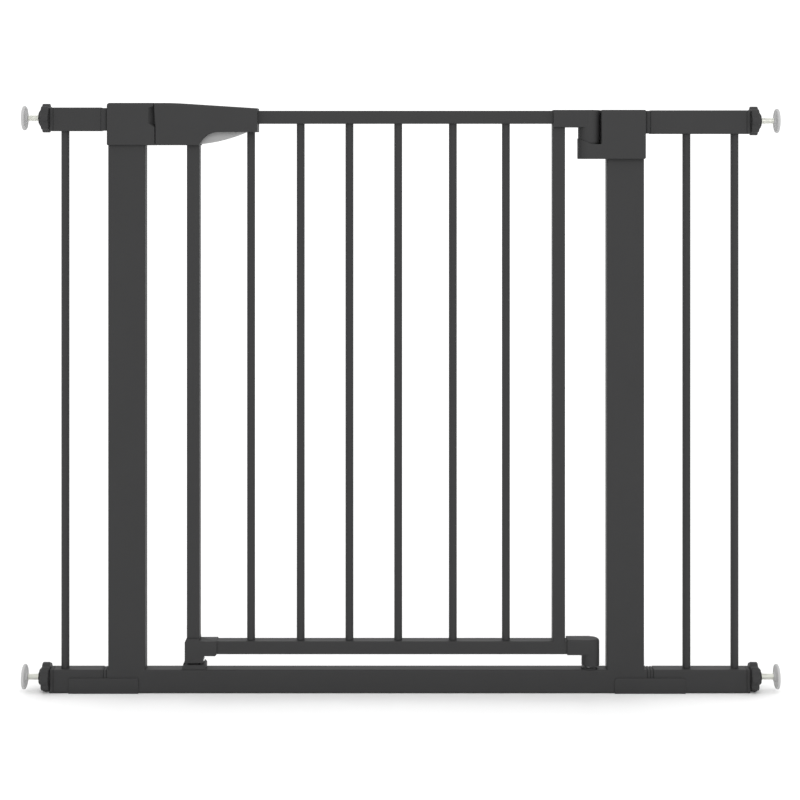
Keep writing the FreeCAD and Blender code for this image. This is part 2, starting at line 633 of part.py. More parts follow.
def hinge_elbow():
    """The lower hinge knuckle: an arm over the rail's end and a barrel over the pivot pin."""
    barrel = cylinder((ELBOW_X, 0, ELBOW_BOTTOM_Z), (0, 0, 1), ELBOW_RADIUS, ELBOW_TOP_Z - ELBOW_BOTTOM_Z)
    barrel = rounded_where(barrel, 3.6, lambda b: b.ZMin > ELBOW_TOP_Z - 0.1)
    arm = box(ELBOW_LEFT_X, ELBOW_X, -ELBOW_RADIUS + 0.3, ELBOW_RADIUS - 0.3, ELBOW_ARM_BOTTOM_Z, ELBOW_TOP_Z)
    arm = rounded_where(arm, 1.8, lambda b: b.XLength > 5 and b.YLength < 0.1)
    elbow = without_door_frame(arm.fuse(barrel))
    bore = cylinder((HINGE_X, 0, ELBOW_BOTTOM_Z - 1), (0, 0, 1), HINGE_PIN_RADIUS + RUNNING_FIT, 28)
    return elbow.cut(bore)


def pivot_pin():
    """The steel pin that turns in the threshold's cup. The elbow slides up and down on it."""
    pin = cylinder((HINGE_X, 0, 14.2), (0, 0, 1), HINGE_PIN_RADIUS, 44.0)
    return rounded_where(pin, 0.8, lambda b: b.ZLength < 0.1)


def corner_fitting():
    """The cap over the latch corner: an arm over the rail and a foot with a tongue for the catch."""
    half = DOOR_HALF_DEPTH + 1.8
    top = 66.3
    slope_z = 69.6
    outline = [
        (CORNER_LEFT_X, FOOT_BOTTOM_Z),
        (CORNER_LEFT_X, 65.2),
        (LATCH_STILE_X, slope_z),
        (LATCH_STILE_X + LATCH_STILE_WIDTH, slope_z),
        (LATCH_STILE_X + LATCH_STILE_WIDTH, top),
        (CORNER_RIGHT_X, top),
        (CORNER_RIGHT_X, ELBOW_ARM_BOTTOM_Z + 1),
        (CORNER_RIGHT_X - 2, ELBOW_ARM_BOTTOM_Z - 1),
        (FOOT_RIGHT_X + 1.5, ELBOW_ARM_BOTTOM_Z - 1),
        (FOOT_RIGHT_X, ELBOW_ARM_BOTTOM_Z - 3.5),
        (FOOT_RIGHT_X, FOOT_BOTTOM_Z),
    ]
    body = prism(outline, -half, half)
    tongue = box(TONGUE_LEFT_X, TONGUE_RIGHT_X, -TONGUE_HALF, TONGUE_HALF, TONGUE_Z, FOOT_BOTTOM_Z)
    return without_door_frame(body.fuse(tongue))


# ---------------------------------------------------------------- handle, trigger and latch

def handle_outline():
    """Front outline: level over the latch, then sloping down to the right, with a hollow for the fingers."""
    left, right = HANDLE_LEFT_X, HANDLE_RIGHT_X
    top = HANDLE_TOP_Z
    bend = 12.0
    slope = math.atan((top - HANDLE_RIGHT_TOP_Z) / (right - HANDLE_BEND_X))
    radius = bend / math.tan(slope / 2)
    bend_start = V(HANDLE_BEND_X - bend, 0, top)
    bend_mid = bend_start + V(radius * math.sin(slope / 2), 0, -radius * (1 - math.cos(slope / 2)))
    bend_end = V(HANDLE_BEND_X + bend * math.cos(slope), 0, top - bend * math.sin(slope))
    hollow = 26.0
    hollow_x = -231.5
    foot_x = LATCH_STILE_X + LATCH_STILE_WIDTH + 0.4
    reach = hollow_x - foot_x
    foot_z = HANDLE_UNDERSIDE_Z - hollow + math.sqrt(hollow * hollow - reach * reach)
    middle = reach / 2
    mid_z = HANDLE_UNDERSIDE_Z - hollow + math.sqrt(hollow * hollow - middle * middle)
    low_left = left + 2
    pieces = [
        Part.LineSegment(V(left, 0, top), bend_start),
        Part.Arc(bend_start, bend_mid, bend_end),
        Part.LineSegment(bend_end, V(right, 0, HANDLE_RIGHT_TOP_Z)),
        Part.LineSegment(V(right, 0, HANDLE_RIGHT_TOP_Z), V(right, 0, HANDLE_UNDERSIDE_Z)),
        Part.LineSegment(V(right, 0, HANDLE_UNDERSIDE_Z), V(hollow_x, 0, HANDLE_UNDERSIDE_Z)),
        Part.Arc(V(hollow_x, 0, HANDLE_UNDERSIDE_Z), V(hollow_x - middle, 0, mid_z), V(foot_x, 0, foot_z)),
        Part.LineSegment(V(foot_x, 0, foot_z), V(foot_x, 0, HANDLE_FOOT_Z)),
        Part.LineSegment(V(foot_x, 0, HANDLE_FOOT_Z), V(low_left, 0, HANDLE_FOOT_Z)),
        Part.LineSegment(V(low_left, 0, HANDLE_FOOT_Z), V(low_left, 0, LEAN_START_Z)),
        Part.LineSegment(V(low_left, 0, LEAN_START_Z), V(left, 0, top)),
    ]
    return Part.Wire([piece.toShape() for piece in pieces])


def handle_shell(side):
    """One half of the handle's casing. side is -1 at the front and 1 at the rear."""
    half = HANDLE_HALF_DEPTH
    whole = prism(handle_outline(), -half, half)
    outer_y = side * half
    whole = rounded_where(whole, 3.6, lambda b: abs(b.Center.y - outer_y) < 0.1 and b.ZMin > 735 and b.XLength > 5)
    other = box(-400, 0, min(0, -side * 40), max(0, -side * 40), 600, 800)
    shell = without_door_frame(whole.cut(other))
    shell = shell.cut(cylinder((DOOR_BARS_X[0], 0, LOW_RAIL_Z), (0, 0, 1), BAR_RADIUS, TOP_RAIL_Z - LOW_RAIL_Z))
    channel = BOLT_HALF + 0.35
    bolt_way = box(HANDLE_LEFT_X - 5, LATCH_STILE_X, -channel, channel, BOLT_Z - channel, BOLT_Z + channel)
    wide = TRIGGER_HALF_WIDTH + 0.4
    trigger_way = box(LATCH_STILE_X + LATCH_STILE_WIDTH, DOOR_BARS_X[0] - BAR_RADIUS, -wide, wide, 690,
                      TOP_RAIL_Z)
    return shell.cut(bolt_way).cut(trigger_way)


def trigger():
    """A crescent that the fingers pull up into the handle. Its arm carries the cam pin."""
    left = LATCH_STILE_X + LATCH_STILE_WIDTH + 0.5
    right = DOOR_BARS_X[0] - BAR_RADIUS - 1.4
    top = 716.6
    tip_z = HANDLE_UNDERSIDE_Z - 0.6
    belly = Part.Arc(V(left, 0, 697.9), V(-229.5, 0, 702.2), V(right, 0, tip_z))
    pieces = [
        belly,
        Part.LineSegment(V(right, 0, tip_z), V(right, 0, top)),
        Part.LineSegment(V(right, 0, top), V(left, 0, top)),
        Part.LineSegment(V(left, 0, top), V(left, 0, 697.9)),
    ]
    half = TRIGGER_HALF_WIDTH
    body = prism(Part.Wire([piece.toShape() for piece in pieces]), -half, half)
    arm_x = CAM_PIN_X
    arm = box(arm_x - 3.6, arm_x + 3.6, -2.0, 2.0, top - 1, CAM_PIN_Z + 3.2)
    spring_hole = cylinder((SPRING_X, 0, SPRING_FOOT_Z), (0, 0, 1), SPRING_RADIUS + 0.5, 20)
    pin_hole = cylinder((arm_x, -10, CAM_PIN_Z), (0, 1, 0), CAM_PIN_RADIUS, 20)
    return body.fuse(arm).removeSplitter().cut(spring_hole).cut(pin_hole)


def trigger_pin():
    return cylinder((CAM_PIN_X, -BOLT_HALF, CAM_PIN_Z), (0, 1, 0), CAM_PIN_RADIUS, 2 * BOLT_HALF)


def trigger_spring():
    """A coil that pushes the trigger back down from the door's top rail."""
    height = TOP_RAIL_Z - SPRING_FOOT_Z - 2 * SPRING_WIRE
    coil = SPRING_RADIUS - SPRING_WIRE
    helix = Part.makeHelix(height / SPRING_TURNS, height, coil)
    section = Part.Wire(Part.makeCircle(SPRING_WIRE, V(coil, 0, 0), V(0, 1, 0)))
    spring = Part.Wire(helix.Edges).makePipeShell([section], True, True)
    spring.translate(V(SPRING_X, 0, SPRING_FOOT_Z + SPRING_WIRE))
    return spring


def latch_bolt():
    """A bar with a bevelled nose. Its forked tail has a sloping slot that the cam pin runs in."""
    h = BOLT_HALF
    tail_half = 6.6
    nose = box(BOLT_NOSE_X, -262.0, -h, h, BOLT_Z - h, BOLT_Z + h)
    nose = nose.makeChamfer(2.4, [e for e in nose.Edges if e.BoundBox.XMax < BOLT_NOSE_X + 0.1
                                  and e.BoundBox.ZLength > 1])
    tail = box(-260.5, -232.0, -h, h, BOLT_Z - tail_half, BOLT_Z + tail_half)
    bridge = box(-262.0, -260.5, -h, h, BOLT_Z - h, BOLT_Z + h)
    bolt = nose.fuse(bridge).fuse(tail).removeSplitter()
    bolt = bolt.cut(box(-256.0, -230.0, -2.3, 2.3, BOLT_Z - 10, BOLT_Z + 10))
    clear = CAM_PIN_RADIUS + 0.15
    lower = V(CAM_PIN_X, 0, CAM_PIN_Z)
    upper = V(CAM_PIN_X - TRIGGER_TRAVEL, 0, CAM_PIN_Z + TRIGGER_TRAVEL)
    slant = clear * math.sqrt(0.5)
    slot = prism([
        (lower.x + slant, lower.z + slant),
        (lower.x - slant, lower.z - slant),
        (upper.x - slant, upper.z - slant),
        (upper.x + slant, upper.z + slant),
    ], -10, 10)
    for end in (lower, upper):
        slot = slot.fuse(cylinder((end.x, -10, end.z), (0, 1, 0), clear, 20))
    return bolt.cut(slot)


def bolt_guide():
    """A plug in the rail's open end, which the bolt slides through."""
    inset = DOOR_WALL
    y = DOOR_HALF_DEPTH - inset
    hole = BOLT_HALF + 0.25
    x0 = LATCH_STILE_X - TOP_RAIL_OVERHANG
    plug = box(x0, x0 + 7.0, -y, y, TOP_RAIL_Z + inset, TOP_RAIL_Z + DOOR_TUBE - inset)
    return plug.cut(box(x0 - 1, x0 + 20, -hole, hole, BOLT_Z - hole, BOLT_Z + hole))


# ---------------------------------------------------------------- screws

def screw(place, axis, length):
    """A pan-head screw: place is where its head meets the surface, axis points out of the surface."""
    start = V(*place)
    out = V(*axis)
    head = Part.makeCylinder(SCREW_HEAD_RADIUS, SCREW_HEAD_HEIGHT, start, out)
    top = start + out * SCREW_HEAD_HEIGHT
    head = rounded_where(head, 0.7, lambda b: (V(b.Center) - top).Length < 0.1 and b.DiagonalLength > 1)
    shank = Part.makeCylinder(SCREW_RADIUS, length, start - out * length, out)
    cross = SCREW_HEAD_RADIUS * 0.55
    socket = Part.makeCylinder(cross * 0.6, 1.0, top - out * 1.0, out)
    return head.fuse(shank).removeSplitter().cut(socket)


def screws(places):
    return group([screw(place, (0, 1, 0), SCREW_LENGTH) for place in places])


def drilled(shape, places):
    """The shape with a hole for each screw's shank."""
    for x, y, z in places:
        shape = shape.cut(cylinder((x, y - SCREW_LENGTH, z), (0, 1, 0), SCREW_RADIUS, SCREW_LENGTH + 1))
    return shape


# ---------------------------------------------------------------- the whole gate

def build():
    save("threshold_rail", threshold_rail())
    save("left_post", drilled(post(LEFT_POST_X, LEFT_POST_TOP_Z).cut(
        spigot_stub(LEFT_HEAD_LEFT_X, LEFT_TOP_RAIL_Z, 1)), FRAME_SCREWS))
    save("right_post", drilled(post(RIGHT_POST_X, RIGHT_POST_TOP_Z).cut(
        spigot_stub(RIGHT_HEAD_RIGHT_X, RIGHT_TOP_RAIL_Z, -1)), FRAME_SCREWS))
    save("left_post_head", drilled(left_post_head(), FRAME_SCREWS))
    save("right_post_head", drilled(right_post_head(), FRAME_SCREWS))
    save("latch_keeper", latch_keeper())
    save("hinge_seat_bush", hinge_seat_bush())
    save("top_hinge_pin", top_hinge_pin())
    save("pivot_cup", pivot_cup())
    save("pivot_pin", pivot_pin())
    save("door_catch", door_catch())
    save("frame_screws", screws(FRAME_SCREWS))

    save("left_extension_top_rail", extension_rail(LEFT_RAIL_END_X, LEFT_TOP_COLLAR_X, LEFT_TOP_RAIL_Z))
    save("left_extension_bottom_rail", extension_rail(LEFT_RAIL_END_X, LEFT_LOW_COLLAR_X, 0))
    save("left_extension_bar", extension_bar(LEFT_BAR_X, LEFT_TOP_RAIL_Z))
    save("right_extension_top_rail", extension_rail(RIGHT_TOP_COLLAR_X, RIGHT_RAIL_END_X, RIGHT_TOP_RAIL_Z))
    save("right_extension_bottom_rail", extension_rail(RIGHT_LOW_COLLAR_X, RIGHT_RAIL_END_X, 0))
    save("right_extension_inner_bar", extension_bar(RIGHT_BARS_X[0], RIGHT_TOP_RAIL_Z))
    save("right_extension_outer_bar", extension_bar(RIGHT_BARS_X[1], RIGHT_TOP_RAIL_Z))
    save("left_spigots", left_spigots())
    save("right_spigots", right_spigots())
    save("left_joint_clip", joint_clip(LEFT_CLIP, 1.5))
    save("right_joint_clip", joint_clip(RIGHT_CLIP, 4.5))
    save("end_bushes", end_bushes())
    save("spindle_washers", spindle_washers())

    names = ("left_top", "left_bottom", "right_top", "right_bottom")
    for name, (end_x, outwards, rail_z, rod_z) in zip(names, spindles()):
        save(name + "_hand_nut", hand_nut(end_x, outwards, rod_z))
        save(name + "_threaded_rod", threaded_rod(end_x, outwards, rod_z))
        save(name + "_wall_pad", wall_pad(outwards, rod_z))

    save("latch_stile", drilled(latch_stile(), DOOR_SCREWS))
    save("hinge_stile", hinge_stile())
    save("door_top_rail", drilled(door_top_rail(), DOOR_SCREWS))
    save("door_bottom_rail", drilled(door_bottom_rail(), DOOR_SCREWS))
    for number, centre_x in enumerate(DOOR_BARS_X, 1):
        save("door_bar_%d" % number, door_bar(centre_x))
    save("top_hinge_block", drilled(top_hinge_block(), DOOR_SCREWS))
    save("hinge_elbow", drilled(hinge_elbow(), DOOR_SCREWS))
    save("corner_fitting", drilled(corner_fitting(), DOOR_SCREWS))
    save("handle_front_shell", handle_shell(-1))
    save("handle_rear_shell", drilled(handle_shell(1), DOOR_SCREWS))
    save("trigger", trigger())
    save("trigger_pin", trigger_pin())
    save("trigger_spring", trigger_spring())
    save("latch_bolt", latch_bolt())
    save("bolt_guide", bolt_guide())
    save("door_screws", screws(DOOR_SCREWS))


build()
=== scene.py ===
import json
import math

import bpy
from mathutils import Matrix, Vector


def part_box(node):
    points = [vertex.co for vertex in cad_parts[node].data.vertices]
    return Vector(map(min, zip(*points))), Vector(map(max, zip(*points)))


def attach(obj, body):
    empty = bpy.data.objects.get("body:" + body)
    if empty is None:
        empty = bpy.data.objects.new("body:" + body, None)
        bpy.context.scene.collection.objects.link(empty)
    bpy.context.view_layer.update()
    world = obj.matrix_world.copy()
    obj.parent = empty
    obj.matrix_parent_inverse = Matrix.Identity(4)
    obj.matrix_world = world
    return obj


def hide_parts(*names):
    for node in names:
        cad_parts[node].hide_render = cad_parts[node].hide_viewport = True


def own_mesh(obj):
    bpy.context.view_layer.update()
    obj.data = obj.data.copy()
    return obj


bl_info = {
    "name": "Safety Gate Looks",
    "version": (1, 0, 0),
    "blender": (4, 5, 0),
    "location": "3D View > Sidebar > Safety Gate",
    "description": "Gives a walk-through safety gate its finished pieces, its finishes and a studio",
    "category": "Object",
}

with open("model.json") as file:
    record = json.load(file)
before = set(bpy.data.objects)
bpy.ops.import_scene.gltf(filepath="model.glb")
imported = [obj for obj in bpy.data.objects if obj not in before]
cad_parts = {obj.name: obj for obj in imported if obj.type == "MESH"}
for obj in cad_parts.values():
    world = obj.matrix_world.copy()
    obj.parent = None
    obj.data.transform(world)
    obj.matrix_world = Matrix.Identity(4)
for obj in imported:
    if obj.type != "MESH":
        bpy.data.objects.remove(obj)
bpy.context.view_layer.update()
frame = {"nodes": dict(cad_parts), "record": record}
NODES = frame["nodes"]
RECORD = frame["record"]
MM = 0.001

# How close two vertices are when they count as one, on made pieces and on copies of the CAD's.
MERGE_REACH = 0.00001
CAD_MERGE_REACH = 0.000002
SAME_HEIGHT = 0.000001

SCREW_HEAD_RADIUS = 3.8 * MM
SCREW_HEAD_HEIGHT = 1.8 * MM
# Wider than a screw's head and narrower than the space between two screws.
SCREW_SPREAD = 9 * MM

SPINDLES = ("left_top", "left_bottom", "right_top", "right_bottom")
STEEL_TUBES = (
    "threshold_rail", "left_post", "right_post",
    "left_extension_top_rail", "left_extension_bottom_rail", "left_extension_bar",
    "right_extension_top_rail", "right_extension_bottom_rail",
    "right_extension_inner_bar", "right_extension_outer_bar",
    "latch_stile", "hinge_stile", "door_top_rail", "door_bottom_rail",
    "door_bar_1", "door_bar_2", "door_bar_3", "door_bar_4", "door_bar_5", "door_bar_6",
)
BEARING_PIECES = (
    "latch_keeper", "hinge_seat_bush", "pivot_cup", "latch_bolt", "bolt_guide", "spindle_washers",
)
STEEL_PIECES = ("top_hinge_pin", "pivot_pin", "trigger_pin")
# Moulded and pressed covers, with the width of their softened edges in millimetres.
COVERS = {
    "left_post_head": 0.7, "right_post_head": 0.7, "top_hinge_block": 0.5, "hinge_elbow": 0.6,
    "corner_fitting": 0.6, "door_catch": 0.5, "handle_front_shell": 0.7, "handle_rear_shell": 0.7,
    "left_joint_clip": 0.4, "right_joint_clip": 0.4, "left_spigots": 0.3, "right_spigots": 0.3,
    "end_bushes": 0.5, "trigger": 0.8,
}


# ---------------------------------------------------------------- settings

def length(name, description, default):
    return bpy.props.FloatProperty(name=name, description=description, default=default,
                                   subtype="DISTANCE", unit="LENGTH", precision=4)


def colour(name, description, default):
    return bpy.props.FloatVectorProperty(name=name, description=description, default=default, size=3,
                                         subtype="COLOR", min=0.0, max=1.0)


class GateSizes(bpy.types.PropertyGroup):
    thread_pitch: length("Thread pitch", "Rise of the spindle's thread in one turn", 1.25 * MM)
    thread_depth: length("Thread depth", "Depth of the spindle's thread", 0.62 * MM)
    nut_lobes: bpy.props.IntProperty(name="Nut lobes", description="Grips round each hand nut",
                                     default=8, min=3)
    nut_hollow: length("Nut hollow", "Depth of the hollows between the grips", 2.1 * MM)
    pad_dish: length("Pad dish", "Depth of the ring pressed into the pad's inner face", 0.5 * MM)
    spring_wire: length("Spring wire", "Radius of the trigger spring's wire", 0.45 * MM)
    spring_turns: bpy.props.IntProperty(name="Spring turns", description="Turns of the trigger's spring",
                                        default=6)
    edge_steps: bpy.props.IntProperty(name="Edge steps", description="Facets across a softened edge", default=3)


class GateFinishes(bpy.types.PropertyGroup):
    paint: colour("Powder coat", "Charcoal of the steel tubes", (0.0305, 0.0305, 0.031))
    moulding: colour("Mouldings", "Charcoal of the covers and hand nuts", (0.032, 0.032, 0.0325))
    trigger: colour("Trigger", "Grey of the squeeze trigger", (0.31, 0.31, 0.31))
    pad: colour("Wall pads", "Grey of the soft wall pads", (0.43, 0.43, 0.43))
    bearing: colour("Bearings", "Black of the sliding and bearing pieces", (0.020, 0.020, 0.020))
    zinc: colour("Zinc", "Plating of the spindles", (0.80, 0.805, 0.76))
    steel: colour("Steel", "Pins, springs and screws", (0.52, 0.52, 0.53))


class GateStudio(bpy.types.PropertyGroup):
    camera_distance: length("Camera distance", "From the middle of the gate", 2.1)
    camera_height: length("Camera height", "Above the floor", 0.6765)
    lens: bpy.props.FloatProperty(name="Lens", description="Focal length", default=74.06, unit="CAMERA")
    rise: bpy.props.FloatProperty(name="Rise", description="Vertical shift that frames the gate",
                                  default=-0.2988)
    sky: bpy.props.FloatProperty(name="Surround", description="Strength of the white surround", default=1.2)
    key: bpy.props.FloatProperty(name="Key light", description="Power of the key light",
                                 default=9.0, unit="POWER")
    floor: colour("Floor", "Pale floor", (0.98, 0.98, 0.98))


def sizes():
    return bpy.context.scene.gate_sizes


def finishes():
    return bpy.context.scene.gate_finishes


def studio():
    return bpy.context.scene.gate_studio


# ---------------------------------------------------------------- mesh helpers

def start_clean():
    if bpy.context.object and bpy.context.object.mode != "OBJECT":
        bpy.ops.object.mode_set(mode="OBJECT")
    bpy.ops.object.select_all(action="DESELECT")


def make_active(piece):
    start_clean()
    piece.select_set(True)
    bpy.context.view_layer.objects.active = piece


def select(test, kind="VERT"):
    """In edit mode, selects the vertices, edges or faces that pass the test."""
    bpy.ops.mesh.select_all(action="DESELECT")
    bpy.ops.mesh.select_mode(type=kind)
    bpy.ops.object.mode_set(mode="OBJECT")
    mesh = bpy.context.object.data
    chosen = {"VERT": mesh.vertices, "EDGE": mesh.edges, "FACE": mesh.polygons}[kind]
    for item in chosen:
        item.select = bool(test(item))
    bpy.ops.object.mode_set(mode="EDIT")


def apply_modifier(piece, kind, **values):
    make_active(piece)
    modifier = piece.modifiers.new(kind.lower(), kind)
    for key, value in values.items():
        setattr(modifier, key, value)
    bpy.ops.object.modifier_apply(modifier=modifier.name)


def settle(piece, name, material):
    """Names a piece, puts its object at the origin and gives it its finish."""
    make_active(piece)
    bpy.ops.object.transform_apply(location=True, rotation=True, scale=True)
    piece.name = name
    piece.data.name = name
    piece.data.materials.clear()
    piece.data.materials.append(material)


def copied(piece, matrix):
    """A copy of a finished piece with its own mesh, moved by the matrix."""
    make_active(piece)
    bpy.ops.object.duplicate()
    twin = bpy.context.object
    twin.matrix_world = matrix
    bpy.ops.object.transform_apply(location=True, rotation=True, scale=True)
    return twin


def discard(piece):
    make_active(piece)
    bpy.ops.object.delete()


def smooth(piece, degrees=35):
    make_active(piece)
    bpy.ops.object.shade_smooth_by_angle(angle=math.radians(degrees))


def recalculate(piece):
    make_active(piece)
    bpy.ops.object.mode_set(mode="EDIT")
    bpy.ops.mesh.select_all(action="SELECT")
    bpy.ops.mesh.remove_doubles(threshold=MERGE_REACH)
    bpy.ops.mesh.normals_make_consistent(inside=False)
    bpy.ops.object.mode_set(mode="OBJECT")


def selected_vertices(piece):
    """The vertices selected in edit mode, read in object mode."""
    bpy.ops.object.mode_set(mode="OBJECT")
    chosen = [v for v in piece.data.vertices if v.select]
    bpy.ops.object.mode_set(mode="EDIT")
    return chosen


def widen(scale):
    """Scales what is selected about the Z axis."""
    bpy.ops.transform.resize(value=(scale, scale, 1.0), center_override=(0, 0, 0))


def push_ring(rise=0.0, scale=1.0, rounder=False):
    """Extrudes the selected ring of edges along Z, then makes it round or scales it about the Z axis."""
    bpy.ops.mesh.extrude_region_move(TRANSFORM_OT_translate={"value": (0, 0, rise)})
    if rounder:
        bpy.ops.transform.tosphere(value=1.0)
    if scale != 1.0:
        widen(scale)


def spindle_matrix(name):
    """Places a piece built along +Z so that +Z points out to the wall on that spindle."""
    low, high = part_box(name + "_threaded_rod")
    middle = (low + high) / 2
    outwards = -1 if middle.x < 0 else 1
    turn = Matrix.Rotation(outwards * math.pi / 2, 4, "Y")
    return Matrix.Translation((0, 0, middle.z)) @ turn


def spindle_ends(node):
    """How far out from the gate's middle a piece on a spindle starts and ends."""
    low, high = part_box(node)
    return (-high.x, -low.x) if low.x < 0 else (low.x, high.x)


# ---------------------------------------------------------------- finishes

def group_socket(group, name, kind, direction, default=None):
    socket = group.interface.new_socket(name=name, in_out=direction, socket_type=kind)
    if default is not None:
        socket.default_value = default


def multiply_add(nodes, factor=None, addend=None):
    """A node that gives its first input times the factor plus the addend."""
    node = nodes.new("ShaderNodeMath")
    node.operation = "MULTIPLY_ADD"
    for index, value in ((1, factor), (2, addend)):
        if value is not None:
            node.inputs[index].default_value = value
    return node


def fine_surface_group():
    """Small changes of colour, gloss and height over a coated or moulded surface.

    Fine grain and wide patches are added in two shares to a change that lies about zero.
    """
    grain_share, patch_share, middle = 0.4, 0.6, 0.5
    group = bpy.data.node_groups.get("fine_surface")
    if group:
        return group
    group = bpy.data.node_groups.new("fine_surface", "ShaderNodeTree")
    group_socket(group, "Color", "NodeSocketColor", "INPUT", (0.5, 0.5, 0.5, 1))
    group_socket(group, "Color Change", "NodeSocketFloat", "INPUT", 0.1)
    group_socket(group, "Grain Scale", "NodeSocketFloat", "INPUT", 1200.0)
    group_socket(group, "Patch Scale", "NodeSocketFloat", "INPUT", 40.0)
    group_socket(group, "Roughness", "NodeSocketFloat", "INPUT", 0.5)
    group_socket(group, "Roughness Change", "NodeSocketFloat", "INPUT", 0.1)
    group_socket(group, "Color", "NodeSocketColor", "OUTPUT")
    group_socket(group, "Roughness", "NodeSocketFloat", "OUTPUT")
    group_socket(group, "Height", "NodeSocketFloat", "OUTPUT")
    nodes, links = group.nodes, group.links
    inputs = nodes.new("NodeGroupInput")
    outputs = nodes.new("NodeGroupOutput")
    place = nodes.new("ShaderNodeTexCoord")
    grain = nodes.new("ShaderNodeTexNoise")
    grain.inputs["Detail"].default_value = 2.0
    patch = nodes.new("ShaderNodeTexNoise")
    patch.inputs["Detail"].default_value = 4.0
    patch.inputs["Roughness"].default_value = 0.6
    for noise, scale in ((grain, "Grain Scale"), (patch, "Patch Scale")):
        links.new(place.outputs["Object"], noise.inputs["Vector"])
        links.new(inputs.outputs[scale], noise.inputs["Scale"])
    mixed = multiply_add(nodes, grain_share)
    links.new(grain.outputs["Fac"], mixed.inputs[0])
    lowered = multiply_add(nodes, patch_share, -middle)
    links.new(patch.outputs["Fac"], lowered.inputs[0])
    links.new(lowered.outputs[0], mixed.inputs[2])
    tone = multiply_add(nodes, addend=1.0)
    links.new(mixed.outputs[0], tone.inputs[0])
    links.new(inputs.outputs["Color Change"], tone.inputs[1])
    shade = nodes.new("ShaderNodeVectorMath")
    shade.operation = "SCALE"
    links.new(inputs.outputs["Color"], shade.inputs[0])
    links.new(tone.outputs[0], shade.inputs["Scale"])
    links.new(shade.outputs[0], outputs.inputs["Color"])
    gloss = multiply_add(nodes)
    gloss.use_clamp = True
    links.new(mixed.outputs[0], gloss.inputs[0])
    links.new(inputs.outputs["Roughness Change"], gloss.inputs[1])
    links.new(inputs.outputs["Roughness"], gloss.inputs[2])
    links.new(gloss.outputs[0], outputs.inputs["Roughness"])
    links.new(grain.outputs["Fac"], outputs.inputs["Height"])
    return group


def finish_material(name, color, grain=1200.0, patch=40.0, color_change=0.15, roughness=0.45,
                    roughness_change=0.1, bump=0.1, depth=0.0001, **shader_values):
    """A material whose fine surface comes from the shared group, with plain values on the shader itself."""
    material = bpy.data.materials.get(name)
    if material:
        return material
    material = bpy.data.materials.new(name)
    material.use_nodes = True
    nodes, links = material.node_tree.nodes, material.node_tree.links
    shader = nodes["Principled BSDF"]
    surface = nodes.new("ShaderNodeGroup")
    surface.node_tree = fine_surface_group()
    surface.inputs["Color"].default_value = (*color, 1)
    surface.inputs["Color Change"].default_value = color_change
    surface.inputs["Grain Scale"].default_value = grain
    surface.inputs["Patch Scale"].default_value = patch
    surface.inputs["Roughness"].default_value = roughness
    surface.inputs["Roughness Change"].default_value = roughness_change
    links.new(surface.outputs["Color"], shader.inputs["Base Color"])
    links.new(surface.outputs["Roughness"], shader.inputs["Roughness"])
    relief = nodes.new("ShaderNodeBump")
    relief.inputs["Strength"].default_value = bump
    relief.inputs["Distance"].default_value = depth
    links.new(surface.outputs["Height"], relief.inputs["Height"])
    links.new(relief.outputs["Normal"], shader.inputs["Normal"])
    for socket, value in shader_values.items():
        shader.inputs[socket.replace("_", " ")].default_value = value
    material.diffuse_color = (*color, 1)
    return material


def powder_coat():
    return finish_material("charcoal_powder_coat", finishes().paint, grain=900, patch=18, color_change=0.25,
                           roughness=0.55, roughness_change=0.15, bump=0.25, depth=0.00012,
                           Specular_IOR_Level=0.2)


def moulding():
    return finish_material("charcoal_moulding", finishes().moulding, grain=2600, patch=30, color_change=0.2,
                           roughness=0.58, roughness_change=0.12, bump=0.2, depth=0.00006,
                           Specular_IOR_Level=0.2)


def trigger_plastic():
    return finish_material("grey_trigger_plastic", finishes().trigger, grain=2200, patch=60, color_change=0.08,
                           roughness=0.42, roughness_change=0.1, bump=0.15, depth=0.00005)


def pad_rubber():
    return finish_material("soft_grey_pad", finishes().pad, grain=1500, patch=90, color_change=0.1,
                           roughness=0.62, roughness_change=0.15, bump=0.25, depth=0.00008)


def bearing_plastic():
    return finish_material("black_bearing_plastic", finishes().bearing, grain=1800, patch=70, color_change=0.2,
                           roughness=0.45, roughness_change=0.12, bump=0.08, depth=0.00005,
                           Specular_IOR_Level=0.25)


def zinc_plating():
    return finish_material("zinc_plating", finishes().zinc, grain=1400, patch=220, color_change=0.22,
                           roughness=0.34, roughness_change=0.2, bump=0.15, depth=0.00003, Metallic=1.0)


def bright_steel():
    return finish_material("bright_steel", finishes().steel, grain=3000, patch=160, color_change=0.15,
                           roughness=0.28, roughness_change=0.15, bump=0.1, depth=0.00002, Metallic=1.0)


def coat(nodes, material):
    for name in nodes:
        piece = NODES[name]
        piece.data.materials.clear()
        piece.data.materials.append(material)


# ---------------------------------------------------------------- pieces

